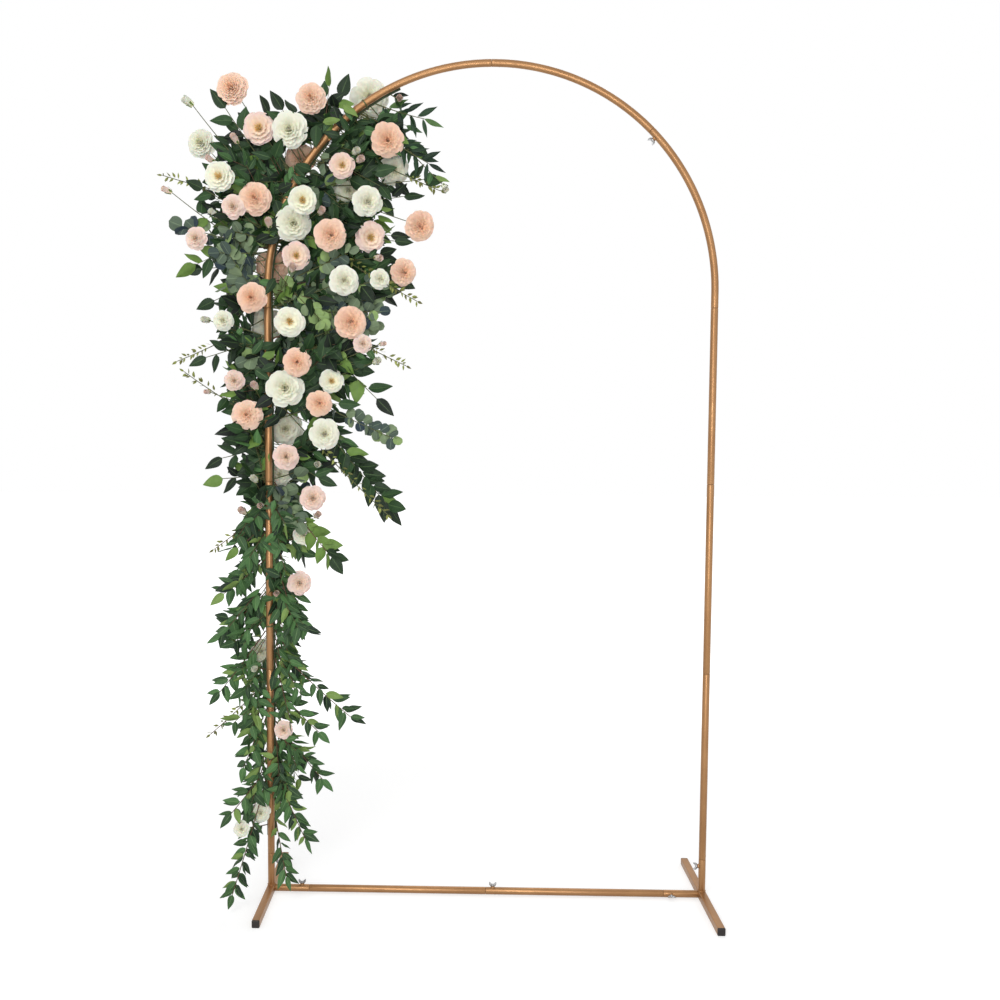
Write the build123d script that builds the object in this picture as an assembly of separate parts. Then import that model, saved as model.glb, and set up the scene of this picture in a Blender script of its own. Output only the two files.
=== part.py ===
"""Wedding arch: a knock-down arch of round steel tube on two foot bars,
with a corner swag of silk roses wired to its left shoulder and left post.

Millimetres, +Z up, the front faces -Y. The origin is on the floor, midway
between the two posts.
"""

from build123d import *
from math import cos, degrees, pi, radians, sin
import os

os.makedirs("parts", exist_ok=True)

# Arch
HALF_SPAN = 590.0        # from the middle to a post's centre line
SPRING_HEIGHT = 1634.0   # where the posts run into the hoop
TUBE_DIAMETER = 19.0
TUBE_WALL = 1.0
STUB_TOP = 108.0         # top of the stub that is welded on each foot bar
LOWER_SEAM = 620.0
MIDDLE_SEAM = 1130.0
HOOP_TAIL = 41.0         # straight tail of the hoop below the spring line
HOOP_SEAM = SPRING_HEIGHT - HOOP_TAIL
HOOP_SECTIONS = 4
SECTION_ANGLE = 180 / HOOP_SECTIONS
STUB_REACH = 105.0       # of the crossbar's stubs from a post's centre line
CROSS_STUB_END = HALF_SPAN - STUB_REACH

# Push joints: a spigot slides into the open end of the tube before it
SPIGOT_LENGTH = 40.0
SLIDING_GAP = 0.3
SHOULDER = 3.0
SOCKET_DEPTH = SPIGOT_LENGTH + 16.0   # of the hoop, whose middle is modelled solid
BORE_SIDES = 12          # hidden bores and spigots are faceted, corners at their radius

# Foot bars
FOOT_LENGTH = 400.0
FOOT_SIZE = 20.0
FOOT_WALL = 1.5
CAP_LIP = 3.0
CAP_PLUG = 12.0

# Wing screws
SCREW_RADIUS = 2.4       # to the corners of its faceted shank
SCREW_HOLE = 2 * (SCREW_RADIUS + SLIDING_GAP)
BOSS_RADIUS = 5.5        # corner radius of the six-sided nut
BOSS_HEIGHT = 4.0
SCREW_INSET = 20.0       # from the open end of a tube to its screw
WING_SPREAD = 20.0
WING_THICKNESS = 2.4
COLLAR_DIAMETER = 8.0
COLLAR_HEIGHT = 5.0

TUBE_RADIUS = TUBE_DIAMETER / 2
BORE_RADIUS = TUBE_RADIUS - TUBE_WALL
SPIGOT_RADIUS = BORE_RADIUS - SLIDING_GAP
CROSS_HEIGHT = FOOT_SIZE / 2
UPWARD = (Align.CENTER, Align.CENTER, Align.MIN)
BOSS_TOP = TUBE_RADIUS - TUBE_WALL / 2 + BOSS_HEIGHT
SCREW_TIP = SPIGOT_RADIUS + SLIDING_GAP


# Frame pieces


def straight_tube(start, end, spigot=True, hollow=True):
    """Tube from start to end; its spigot, if any, reaches back past start."""
    span = Vector(*end) - Vector(*start)
    gap = SLIDING_GAP if spigot else 0
    plug_top = gap + SHOULDER if spigot else 0
    tube = Pos(0, 0, gap) * Cylinder(TUBE_RADIUS, span.length - gap, align=UPWARD)
    if hollow:
        tube -= Pos(0, 0, plug_top) * extrude(RegularPolygon(BORE_RADIUS, BORE_SIDES), span.length)
    if spigot:
        tube += Pos(0, 0, -SPIGOT_LENGTH) * extrude(
            RegularPolygon(SPIGOT_RADIUS, BORE_SIDES), SPIGOT_LENGTH + plug_top
        )
    return Plane(origin=start, z_dir=span) * tube


def on_hoop(angle, offset=0.0):
    """Point of the hoop's centre line, angle degrees round from the left end."""
    reach = HALF_SPAN + offset
    turned = radians(angle)
    return Vector(-reach * cos(turned), 0, SPRING_HEIGHT + reach * sin(turned))


def hoop_tangent(angle):
    turned = radians(angle)
    return Vector(sin(turned), 0, cos(turned))


def hoop_angle(length):
    """Angle that a length of the hoop's centre line covers."""
    return degrees(length / HALF_SPAN)


def bent_bar(angle_from, angle_to, section):
    """Bar of the given section along the hoop between two angles from the left end."""
    outward = on_hoop(angle_from, 1) - on_hoop(angle_from)
    start = Plane(origin=on_hoop(angle_from), x_dir=outward, z_dir=hoop_tangent(angle_from))
    turn_axis = Axis((0, 0, SPRING_HEIGHT), (0, 1, 0))
    return revolve(start * section, turn_axis, angle_to - angle_from)


def bent_tube(angle_from, angle_to, start_joint, end_joint):
    """Hoop section; each end is a "spigot", a "socket" or plain."""
    gap, reach, depth = (hoop_angle(d) for d in (SLIDING_GAP, SPIGOT_LENGTH, SOCKET_DEPTH))
    first = angle_from + (gap if start_joint == "spigot" else 0)
    last = angle_to - (gap if end_joint == "spigot" else 0)
    spigot = RegularPolygon(SPIGOT_RADIUS, BORE_SIDES)
    bore = RegularPolygon(BORE_RADIUS, BORE_SIDES)
    tube = bent_bar(first, last, Circle(TUBE_RADIUS))
    if start_joint == "spigot":
        tube += bent_bar(angle_from - reach, first + gap, spigot)
    if end_joint == "spigot":
        tube += bent_bar(last - gap, angle_to + reach, spigot)
    if start_joint == "socket":
        tube -= bent_bar(first - gap, first + depth, bore)
    if end_joint == "socket":
        tube -= bent_bar(last - depth, last + gap, bore)
    return tube


def screw_boss(tube, seat):
    """Adds the welded nut of a wing screw and drills through it into the bore.

    seat is a plane on the tube's centre line whose Z points out through the nut.
    """
    sunk = TUBE_RADIUS - TUBE_WALL / 2
    nut = Pos(0, 0, sunk) * extrude(RegularPolygon(BOSS_RADIUS, 6), BOSS_TOP - sunk)
    hole = extrude(RegularPolygon(SCREW_HOLE / 2, 6), BOSS_TOP + 1)
    return tube + seat * nut - seat * hole


def wing_screw(seat):
    """Wing screw in its boss: shank, collar and two raised wings."""
    collar_base = BOSS_TOP + SLIDING_GAP
    shank = Pos(0, 0, SCREW_TIP) * extrude(RegularPolygon(SCREW_RADIUS, 6), collar_base - SCREW_TIP)
    collar = Pos(0, 0, collar_base) * extrude(RegularPolygon(COLLAR_DIAMETER / 2, 6), COLLAR_HEIGHT)
    half = WING_SPREAD / 2
    wing_outline = Polyline(
        (0, 0, 0.2 * COLLAR_HEIGHT), (0.55 * half, 0, 0.3 * COLLAR_HEIGHT), (half, 0, 0.8 * half),
        (0.86 * half, 0, 1.25 * half), (0.5 * half, 0, 1.1 * half), (0.3 * half, 0, 0.55 * half),
        (0, 0, 0.55 * half),
        close=True,
    )
    wing = extrude(make_face(wing_outline), WING_THICKNESS / 2, both=True)
    wings = Pos(0, 0, collar_base) * (wing + mirror(wing, Plane.YZ))
    return seat * (shank + collar + wings)


def foot_bar(side):
    """Square foot bar with the welded stubs of its post and of the crossbar."""
    x = side * HALF_SPAN
    outer = Pos(x, 0, FOOT_SIZE / 2) * Box(FOOT_SIZE, FOOT_LENGTH, FOOT_SIZE)
    inner_size = FOOT_SIZE - 2 * FOOT_WALL
    bar = outer - Pos(x, 0, FOOT_SIZE / 2) * Box(inner_size, FOOT_LENGTH, inner_size)
    bar += straight_tube((x, 0, FOOT_SIZE - FOOT_WALL / 2), (x, 0, STUB_TOP), spigot=False)
    inner_face = side * (HALF_SPAN - FOOT_SIZE / 2 + FOOT_WALL / 2)
    bar += straight_tube((inner_face, 0, CROSS_HEIGHT), (side * CROSS_STUB_END, 0, CROSS_HEIGHT), spigot=False)
    return bar


def foot_cap(side, end):
    """Square push-in plug for one end of a foot bar."""
    plug_size = FOOT_SIZE - 2 * FOOT_WALL - 2 * SLIDING_GAP
    face = end * FOOT_LENGTH / 2
    lip = Pos(side * HALF_SPAN, face + end * CAP_LIP / 2, FOOT_SIZE / 2) * Box(FOOT_SIZE, CAP_LIP, FOOT_SIZE)
    plug = Pos(side * HALF_SPAN, face - end * CAP_PLUG / 2, FOOT_SIZE / 2) * Box(plug_size, CAP_PLUG, plug_size)
    return lip + plug


def seat_plane(origin, outward, along):
    """Seat of a wing screw: Z points outward and the wings spread along the tube."""
    return Plane(origin=origin, x_dir=along, z_dir=outward)


def hoop_seat(angle):
    """Seat on the hoop's inner side, so the screw points at the hoop's middle."""
    return seat_plane(on_hoop(angle), on_hoop(angle) - on_hoop(angle, 1), hoop_tangent(angle))


INNER_TURN = hoop_angle(SCREW_INSET)
TOP_TURN = 2 * SECTION_ANGLE + INNER_TURN
SEATS = {
    "left_post_screw": seat_plane((-HALF_SPAN, 0, STUB_TOP - SCREW_INSET), (1, 0, 0), (0, 0, 1)),
    "right_post_screw": seat_plane((HALF_SPAN, 0, STUB_TOP - SCREW_INSET), (-1, 0, 0), (0, 0, 1)),
    "left_cross_screw": seat_plane((-CROSS_STUB_END - SCREW_INSET, 0, CROSS_HEIGHT), (0, 0, 1), (1, 0, 0)),
    "middle_cross_screw": seat_plane((SCREW_INSET, 0, CROSS_HEIGHT), (0, 0, 1), (1, 0, 0)),
    "right_cross_screw": seat_plane((CROSS_STUB_END + SCREW_INSET, 0, CROSS_HEIGHT), (0, -1, 0), (1, 0, 0)),
    "left_hoop_screw": hoop_seat(SECTION_ANGLE - INNER_TURN),
    "right_hoop_screw": hoop_seat(3 * SECTION_ANGLE + INNER_TURN),
    "top_hoop_screw": seat_plane(on_hoop(TOP_TURN), (0, 1, 0), hoop_tangent(TOP_TURN)),
}

nodes = {}


def post_section(side, bottom, top):
    x = side * HALF_SPAN
    return straight_tube((x, 0, bottom), (x, 0, top))


def hoop_end(side):
    """First hoop section of one side: a straight tail with its spigot, then the bend."""
    x = side * HALF_SPAN
    tail = straight_tube((x, 0, HOOP_SEAM), (x, 0, SPRING_HEIGHT), hollow=False)
    if side < 0:
        return tail + bent_tube(0, SECTION_ANGLE, "plain", "socket")
    return tail + bent_tube(3 * SECTION_ANGLE, 4 * SECTION_ANGLE, "socket", "plain")


for side, name in ((-1, "left"), (1, "right")):
    nodes[f"{name}_foot_bar"] = foot_bar(side)
    nodes[f"{name}_front_foot_cap"] = foot_cap(side, -1)
    nodes[f"{name}_rear_foot_cap"] = foot_cap(side, 1)
    nodes[f"{name}_lower_post"] = post_section(side, STUB_TOP, LOWER_SEAM)
    nodes[f"{name}_middle_post"] = post_section(side, LOWER_SEAM, MIDDLE_SEAM)
    nodes[f"{name}_upper_post"] = post_section(side, MIDDLE_SEAM, HOOP_SEAM)
    nodes[f"hoop_{name}_lower"] = hoop_end(side)

nodes["hoop_left_upper"] = bent_tube(SECTION_ANGLE, 2 * SECTION_ANGLE, "spigot", "spigot")
nodes["hoop_right_upper"] = bent_tube(2 * SECTION_ANGLE, 3 * SECTION_ANGLE, "socket", "spigot")
nodes["crossbar_left"] = (
    straight_tube((-CROSS_STUB_END, 0, CROSS_HEIGHT), (-SPIGOT_LENGTH, 0, CROSS_HEIGHT), hollow=False)
    + straight_tube((0, 0, CROSS_HEIGHT), (-SPIGOT_LENGTH, 0, CROSS_HEIGHT), hollow=False)
)
nodes["crossbar_right"] = straight_tube((CROSS_STUB_END, 0, CROSS_HEIGHT), (0, 0, CROSS_HEIGHT))

CARRIERS = {
    "left_post_screw": "left_foot_bar",
    "right_post_screw": "right_foot_bar",
    "left_cross_screw": "left_foot_bar",
    "right_cross_screw": "right_foot_bar",
    "middle_cross_screw": "crossbar_right",
    "left_hoop_screw": "hoop_left_lower",
    "right_hoop_screw": "hoop_right_lower",
    "top_hoop_screw": "hoop_right_upper",
}
for screw, carrier in CARRIERS.items():
    nodes[carrier] = screw_boss(nodes[carrier], SEATS[screw])
    nodes[screw] = wing_screw(SEATS[screw])


# Swag

CORE_RADIUS = 3.5        # of the two garland strands behind the tube, one on either side
CORE_ASIDE = (TUBE_RADIUS + CORE_RADIUS + SLIDING_GAP) * sin(radians(45))
STRAND_TAIL = 30.0       # of each strand past its last wire
WIRE_RADIUS = 1.2
WIRE_SEAT = 0.1          # from a strand's corners to the wires that leave it
TIE_WIDTH = 4.0
TIE_WALL = 1.0
TIE_PLACES = (575, 250, -150, -516, -895, -1340)
BLOOM_DEPTH = 0.55       # from a bloom's centre back to its calyx, in radii
BUD_DEPTH = 1.0


def beside_tube(along, out, front):
    """Point given from the tube: along it from the left spring line (up is +),
    out from the arch's middle, and in front of its plane."""
    if along > 0:
        return on_hoop(hoop_angle(along), out) - Vector(0, front, 0)
    return Vector(-HALF_SPAN - out, -front, SPRING_HEIGHT + along)


def mesh_solid(points, loops):
    """Solid closed by flat faces; each loop lists a face's corners by index."""
    faces = [Face(Wire.make_polygon([points[i] for i in loop], close=True)) for loop in loops]
    return Solid(Shell(faces))


def ring_loops(rings, sides):
    """Faces that close a stack of rings, each of the same number of corners."""
    loops = [list(range(sides))[::-1], [(rings - 1) * sides + k for k in range(sides)]]
    for level in range(rings - 1):
        low, high = level * sides, (level + 1) * sides
        for k in range(sides):
            n = (k + 1) % sides
            loops += [[low + k, low + n, high + n], [low + k, high + n, high + k]]
    return loops


def cup(rings, sides):
    """Bloom shape about Z through rings given as (height, radius, scallop)."""
    points = []
    for height, radius, scallop in rings:
        for k in range(sides):
            reach = radius * (1 - scallop * (k % 2))
            turned = 2 * pi * k / sides
            points.append(Vector(reach * cos(turned), reach * sin(turned), height))
    return mesh_solid(points, ring_loops(len(rings), sides))


def strand(path, radius, sides):
    """Wire with flat sides through the points of path, its sides carried on without a twist."""
    points = []
    across = (path[1] - path[0]).cross(Vector(0.1, 1, 0.2))
    for i, here in enumerate(path):
        run = (path[min(i + 1, len(path) - 1)] - path[max(i - 1, 0)]).normalized()
        across = (across - run * across.dot(run)).normalized()
        ring = Plane(origin=here, x_dir=across, z_dir=run)
        for k in range(sides):
            turned = 2 * pi * k / sides
            points.append(ring.from_local_coords(Vector(radius * cos(turned), radius * sin(turned), 0)))
    return mesh_solid(points, ring_loops(len(path), sides))


def leaf(width):
    """Thin leaf of unit length along X, ridged along its middle."""
    base, tip = Vector(0, 0, 0), Vector(1, 0, -0.06)
    left, right = Vector(0.42, width / 2, -0.02), Vector(0.42, -width / 2, -0.02)
    top, under = Vector(0.45, 0, 0.04), Vector(0.45, 0, 0.0)
    points = [base, left, tip, right, top, under]
    loops = [[0, 3, 4], [3, 2, 4], [2, 1, 4], [1, 0, 4], [3, 0, 5], [2, 3, 5], [1, 2, 5], [0, 1, 5]]
    return mesh_solid(points, loops)


def on_strand(along, side):
    """Point of a strand's centre line: behind the tube, outside it for side 1, inside for -1."""
    return beside_tube(along, side * CORE_ASIDE, -CORE_ASIDE)


def leave_core(start, goal):
    """Point just off the nearer strand where a wire to goal sets out."""
    outward = beside_tube(start, 1, 0) - beside_tube(start, 0, 0)
    side = 1 if (goal - beside_tube(start, 0, 0)).dot(outward) > 0 else -1
    centre = on_strand(start, side)
    run = (beside_tube(start + 1, 0, 0) - beside_tube(start - 1, 0, 0)).normalized()
    heading = (goal - centre).normalized()
    straight_off = (heading - run * heading.dot(run)).normalized()
    slant = abs(heading.dot(run))
    return centre + straight_off * (CORE_RADIUS + WIRE_SEAT + WIRE_RADIUS * 0.6 * slant)


# Blooms of one millimetre radius that face +Z
OPEN_ROSE = cup([(-BLOOM_DEPTH, 0.2, 0), (0.1, 1.0, 0.1), (0.35, 0.5, 0)], 6)
BUD = cup([(-BUD_DEPTH, 0.3, 0), (0.1, 1.0, 0), (1.1, 0.2, 0)], 6)

# Blooms by colour: (along, out, front, diameter)
PEACH_ROSES = [
    (385, 255, 53, 84), (480, 95, 25, 78), (565, -125, 45, 86), (365, 40, -55, 84), (215, 65, 55, 84),
    (185, -160, 80, 84), (425, -350, 51, 78), (80, 5, -55, 88), (130, -360, 10, 70), (-20, 35, 45, 78),
    (-85, -230, 60, 86), (-190, -90, 70, 74), (-295, -145, 47, 68), (-325, 50, 42, 80),
]
BLUSH_ROSES = [
    (355, 140, 50, 84), (405, -95, 60, 64), (180, 110, 60, 62), (245, -250, 28, 78), (100, 190, 50, 58),
    (100, -80, 55, 72), (-140, -260, 50, 48), (-235, 85, 30, 54), (-435, -55, 45, 68), (-545, -125, 40, 66),
    (-775, -85, 20, 62), (-1175, -40, 25, 48),
]
WHITE_ROSES = [
    (280, 280, -20, 74), (390, 70, 60, 92), (600, 30, -60, 100), (535, -175, -35, 78), (230, 175, 50, 78),
    (250, -65, 100, 72), (190, -50, 45, 92), (370, -125, -25, 80), (360, -205, 61, 76), (30, -215, 74, 76),
    (55, -305, 50, 52), (-75, 15, -55, 88), (-85, -70, 65, 78), (-80, 110, 45, 54), (-255, -55, 55, 94),
    (-235, -175, 27, 64), (-360, -35, -55, 90), (-375, -160, 55, 80), (-485, -20, -45, 66),
    (-645, -95, 15, 54), (-975, 35, -45, 66), (-1405, 25, 25, 54), (-1430, 65, 76, 42),
]
ROSE_BUDS = [
    (325, 335, 30, 30), (660, -45, 30, 26), (255, 215, 30, 26), (675, -300, 30, 26), (175, 295, 30, 26),
    (165, -285, 30, 26), (-75, 160, 20, 26), (-140, -310, 50, 20), (-265, 155, 30, 20), (-455, -135, 30, 26),
    (-565, 15, 30, 26), (-800, -25, 30, 24), (-1005, 35, 30, 24),
]

# Leaf sprays: (start on the tube, tip along, out and front, leafy length, leaf length)
ROSE_SPRAYS = [
    (265, 350, 240, 38, 165, 60), (350, 395, 150, 10, 110, 60), (355, 415, 115, 47, 85, 55),
    (405, 500, 85, -14, 105, 60), (480, 535, 50, 5, 70, 60), (560, 575, -65, 21, 45, 50),
    (280, 290, 185, 3, 125, 60), (176, 200, 210, 19, 75, 50), (300, 605, -250, 9, 110, 55),
    (240, 485, -255, 16, 90, 55), (85, 45, 170, 20, 125, 55), (50, -20, 145, -12, 110, 55),
    (-115, -175, 155, 38, 135, 50), (280, 460, -155, 21, 95, 65), (180, 285, -305, 8, 55, 50),
    (166, 95, -335, -17, 95, 60), (20, -280, -290, -2, 175, 65), (-175, -570, -325, 4, 265, 60),
    (-405, -440, 120, 19, 110, 55), (-480, -495, 120, 15, 100, 55), (-620, -680, 80, 20, 80, 50),
    (-505, -700, -175, 48, 130, 55),
]
VINE_SPRAYS = [
    (-715, -805, 120, 15, 130, 48), (-805, -915, 130, 15, 150, 48), (-910, -1075, 135, 15, 185, 48),
    (-705, -885, -75, 24, 150, 48), (-985, -1140, -60, 35, 130, 48), (-955, -1140, -220, 10, 110, 48),
    (-1065, -1180, -135, 20, 150, 45), (-1160, -1310, -145, 21, 185, 45), (-1125, -1280, 70, 20, 145, 45),
    (-1250, -1370, 45, 38, 100, 45), (-1300, -1445, -110, 95, 165, 42), (-1290, -1385, 90, 80, 90, 45),
    (-1310, -1580, 75, 136, 218, 40), (-1430, -1545, -60, 100, 100, 40),
]
EUCALYPTUS_SPRAYS = [
    (105, 80, 125, 35, 90, 30), (140, 130, 105, 50, 75, 30), (120, 120, 235, 26, 80, 38),
    (280, 285, -90, 30, 75, 32), (395, 370, -95, 30, 70, 30), (20, 150, -210, 54, 100, 30),
    (-40, -55, -300, 35, 90, 30), (-145, -180, 50, 27, 40, 34), (65, -80, -150, 48, 80, 30),
    (-225, -385, -335, 18, 140, 28), (-510, -610, -85, 35, 100, 34),
]
WILLOW_SPRAYS = [(600, 705, -115, 20, 130, 55), (540, 655, -225, 25, 140, 50)]
TWIG_SPRAYS = [
    (236, 200, 330, -2, 120, 16), (-70, -185, 235, 30, 100, 16), (200, -30, -400, 46, 130, 16),
    (0, -195, -370, 26, 115, 16), (-345, -210, 225, 4, 70, 16), (-575, -685, 145, 20, 70, 16),
    (-1050, -1190, 160, 20, 145, 16), (-275, -585, -325, 66, 80, 16), (455, 650, -300, 18, 105, 16),
]
LEAF_ANGLE = 48.0        # between a leaf and its stem



def bloom_plane(along, out, front):
    """Plane of a bloom: it faces the viewer and leans out of the swag's middle."""
    centre = beside_tube(along, out, front)
    sideways = beside_tube(along, out + 1, front) - centre
    return Plane(origin=centre, z_dir=Vector(0, -1, 0) + sideways * (out / 330))


def wire_start(place):
    """Where on the tube a bloom's wire leaves the garland."""
    along, out, front, diameter = place
    return along - (0.7 * diameter if front < 0 and abs(out) < diameter else 0.3 * abs(out))


def flower_wire(place, depth):
    """Wire from the garland's strand to the back of a bloom."""
    along, out, front, diameter = place
    bloom = bloom_plane(along, out, front)
    back = bloom.origin - bloom.z_dir * (depth * diameter / 2)
    start = wire_start(place)
    path = [leave_core(start, back)]
    if front < 0 and abs(out) < diameter:
        below = beside_tube(start, out, front - depth * diameter / 2 - 8)
        path = [leave_core(start, below), below]
    slant = (back - path[-1]).normalized().cross(bloom.z_dir).length
    end = back - bloom.z_dir * (SLIDING_GAP + WIRE_RADIUS * slant)
    return strand([*path, end], WIRE_RADIUS, 3)


def blooms(shape, places):
    return [
        bloom_plane(along, out, front).location * scale(shape, diameter / 2)
        for along, out, front, diameter in places
    ]


def spray(row, leaf_shape, pitch):
    """Straight stem off the garland with alternate leaves, pitch leaf lengths apart, and one at its tip."""
    start, along, out, front, leafy, length = row
    count = 2 * round((leafy / (pitch * length) - 1) / 2) + 1
    tip = beside_tube(along, out, front)
    foot = leave_core(start, tip)
    run = (tip - foot).normalized()
    across = run.cross(Vector(0, 1, 0)).normalized()
    shaped = scale(leaf_shape, length)
    leaves = []
    for k in range(count):
        if k == 0:
            heading, base = run, tip + run * SLIDING_GAP
        else:
            side = 1 if k % 2 else -1
            turned = radians(LEAF_ANGLE)
            heading = run * cos(turned) + across * (side * sin(turned))
            base = tip - run * (leafy * k / count) + across * side * (WIRE_RADIUS + SLIDING_GAP)
        facing = Vector(0, -1, 0) + across * (0.25 if k % 2 else -0.25)
        leaves.append(Plane(origin=base, x_dir=heading, z_dir=heading.cross(facing.cross(heading))).location * shaped)
    return strand([foot, tip], WIRE_RADIUS, 3), leaves


def tie(along):
    """Band round the tube and both strands."""
    run = beside_tube(along + 1, 0, 0) - beside_tube(along - 1, 0, 0)
    outward = beside_tube(along, 1, 0) - beside_tube(along, 0, 0)
    across = Plane(origin=beside_tube(along, 0, 0) - run.normalized() * TIE_WIDTH / 2, x_dir=outward, z_dir=run)
    front, strand_size = TUBE_RADIUS + SLIDING_GAP, CORE_RADIUS + SLIDING_GAP
    bevel = sin(radians(22.5)) / cos(radians(22.5))
    rear, waist = CORE_ASIDE + strand_size, CORE_ASIDE - bevel * strand_size
    half = [
        (bevel * front, front), (front, bevel * front),
        (rear, -waist), (rear, -CORE_ASIDE - bevel * strand_size), (CORE_ASIDE + bevel * strand_size, -rear),
    ]
    inside = make_face(Polyline(*half, *[(-x, y) for x, y in reversed(half)], close=True))
    outside = offset(inside, TIE_WALL, kind=Kind.INTERSECTION)
    return across * extrude(outside - inside, TIE_WIDTH)


def core_strand(side):
    turns = [CORE_TOP * k / 14 for k in range(14, -1, -1)]
    drops = [CORE_BOTTOM * k / 3 for k in range(1, 4)]
    return strand([on_strand(along, side) for along in turns + drops], CORE_RADIUS, 6)


BLOOM_NODES = {
    "peach_roses": (OPEN_ROSE, PEACH_ROSES, BLOOM_DEPTH),
    "blush_roses": (OPEN_ROSE, BLUSH_ROSES, BLOOM_DEPTH),
    "white_roses": (OPEN_ROSE, WHITE_ROSES, BLOOM_DEPTH),
    "rose_buds": (BUD, ROSE_BUDS, BUD_DEPTH),
}

# Leaf shapes by their width over their length, and the leaves' pitch in leaf lengths
SPRAY_NODES = {
    "rose_leaves": (ROSE_SPRAYS, leaf(0.5), 0.62),
    "vine_leaves": (VINE_SPRAYS, leaf(0.42), 0.45),
    "eucalyptus_leaves": (EUCALYPTUS_SPRAYS, leaf(0.8), 0.47),
    "willow_leaves": (WILLOW_SPRAYS, leaf(0.26), 0.37),
    "twig_leaves": (TWIG_SPRAYS, leaf(0.4), 1.03),
}

# The garland's strands run from their lowest wire to their highest
STARTS = [row[0] for sprays, shape, pitch in SPRAY_NODES.values() for row in sprays]
STARTS += [wire_start(place) for shape, places, depth in BLOOM_NODES.values() for place in places]
CORE_TOP, CORE_BOTTOM = max(STARTS) + STRAND_TAIL, min(STARTS) - STRAND_TAIL

nodes["garland_strands"] = Compound(children=[core_strand(1), core_strand(-1)])
nodes["swag_ties"] = Compound(children=[tie(along) for along in TIE_PLACES])

flower_wires = []
for name, (shape, places, depth) in BLOOM_NODES.items():
    nodes[name] = Compound(children=blooms(shape, places))
    flower_wires += [flower_wire(place, depth) for place in places]
nodes["flower_stems"] = Compound(children=flower_wires)

leaf_wires = []
for name, (sprays, shape, pitch) in SPRAY_NODES.items():
    leaves = []
    for row in sprays:
        wire, grown = spray(row, shape, pitch)
        leaf_wires.append(wire)
        leaves += grown
    nodes[name] = Compound(children=leaves)
nodes["leaf_stems"] = Compound(children=leaf_wires)

for name, shape in nodes.items():
    export_step(shape, f"parts/{name}.step")
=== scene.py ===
"""Looks of the wedding arch: painted tube, wing screws and a swag of silk roses.

Metres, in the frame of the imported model. Each piece stands on the CAD node that
it replaces: blooms, leaves and wires are read from that node's solids.
"""

import bpy
import numpy as np
from math import cos, pi, radians, sin
from mathutils import Matrix, Vector
from numpy.linalg import norm, svd


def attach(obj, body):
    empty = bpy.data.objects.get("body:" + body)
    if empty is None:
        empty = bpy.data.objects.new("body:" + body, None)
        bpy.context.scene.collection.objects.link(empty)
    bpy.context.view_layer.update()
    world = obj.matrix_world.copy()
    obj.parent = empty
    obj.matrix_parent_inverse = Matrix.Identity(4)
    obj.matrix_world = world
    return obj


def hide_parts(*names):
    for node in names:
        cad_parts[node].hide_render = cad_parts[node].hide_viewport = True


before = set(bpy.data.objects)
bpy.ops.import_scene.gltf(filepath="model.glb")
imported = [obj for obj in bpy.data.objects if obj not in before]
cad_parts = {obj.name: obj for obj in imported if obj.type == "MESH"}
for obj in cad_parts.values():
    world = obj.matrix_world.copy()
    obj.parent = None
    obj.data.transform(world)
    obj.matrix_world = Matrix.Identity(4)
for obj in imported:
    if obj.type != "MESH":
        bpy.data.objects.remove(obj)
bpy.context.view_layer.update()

SEED = 7
rng = np.random.default_rng(SEED)

# Sizes of the frame, in metres, as in the part's source
HALF_SPAN = 0.590
SPRING_HEIGHT = 1.634
TUBE_RADIUS = 0.0095
FOOT_SIZE = 0.020
FOOT_LENGTH = 0.400
STUB_TOP = 0.108
SEAMS = (0.108, 0.620, 1.130, 1.593)
CROSS_STUB_END = 0.485
CROSS_HEIGHT = FOOT_SIZE / 2
JOINT_GAP = 0.0003
SCREW_INSET = 0.020
HOOP_CENTRE = Vector((0, 0, SPRING_HEIGHT))
CORE_ASIDE = 0.0094      # of the garland's strands, to the side of and behind the tube
ROOT_ASIDE = CORE_ASIDE + 0.003      # where a shoot leaves its strand, to the side of the tube

# Camera
CAMERA_PLACE = (-0.0668, -2.522, 1.2357)
CAMERA_YAW, CAMERA_PITCH, CAMERA_ROLL = 0.024, -0.0623, -0.0046
CAMERA_FOCAL = 0.943      # focal length over image width
CAMERA_SHIFT = (0.0592, 0.0022)


# Mesh building

NEUTRAL_TONE = (0.5, 0.5)


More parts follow.
